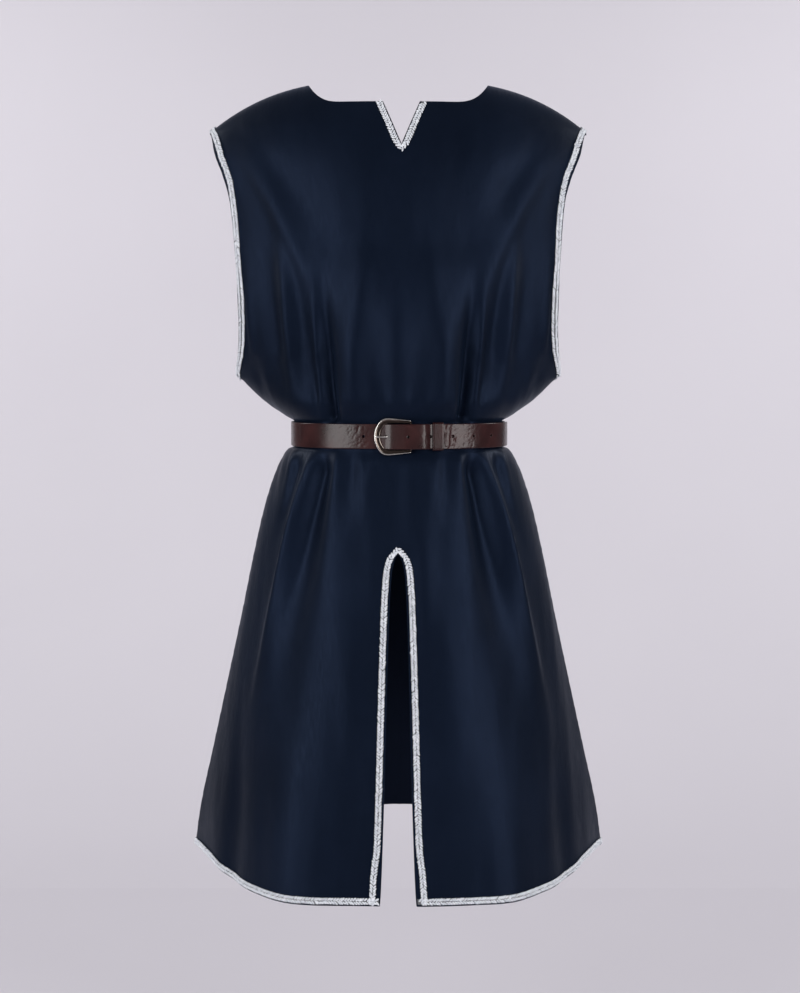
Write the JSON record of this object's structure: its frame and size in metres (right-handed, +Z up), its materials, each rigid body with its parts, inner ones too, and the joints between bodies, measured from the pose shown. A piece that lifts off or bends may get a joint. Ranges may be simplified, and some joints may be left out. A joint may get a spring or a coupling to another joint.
{
  "type": "medieval tunic dress with a belt, worn and hollow",
  "caption": "Sleeveless knee-length tunic with a notched neck, a front slit, braided edges and a buckled leather belt.",
  "frame": {"origin": "midway between the two points where the shoulder seams meet the neckline, on the line of the shoulder seams", "axes": "+Z up, the front of the tunic faces -Y, the wearer's left is at +X"},
  "size_m": [0.5344, 0.3877, 0.9743],
  "materials": {
    "cloth": "satin",
    "braid": "matt",
    "leather": "gloss",
    "metal": "polished"
  },
  "bodies": {
    "root": {"panel_front": "cloth", "panel_back": "cloth", "braid_hem_and_slit": "braid", "braid_neck_notch": "braid", "braid_armhole_left": "braid", "braid_armhole_right": "braid", "belt_strap": "leather", "belt_keeper": "leather", "buckle_frame": "metal", "buckle_tongue": "metal"}
  },
  "joints": []
}
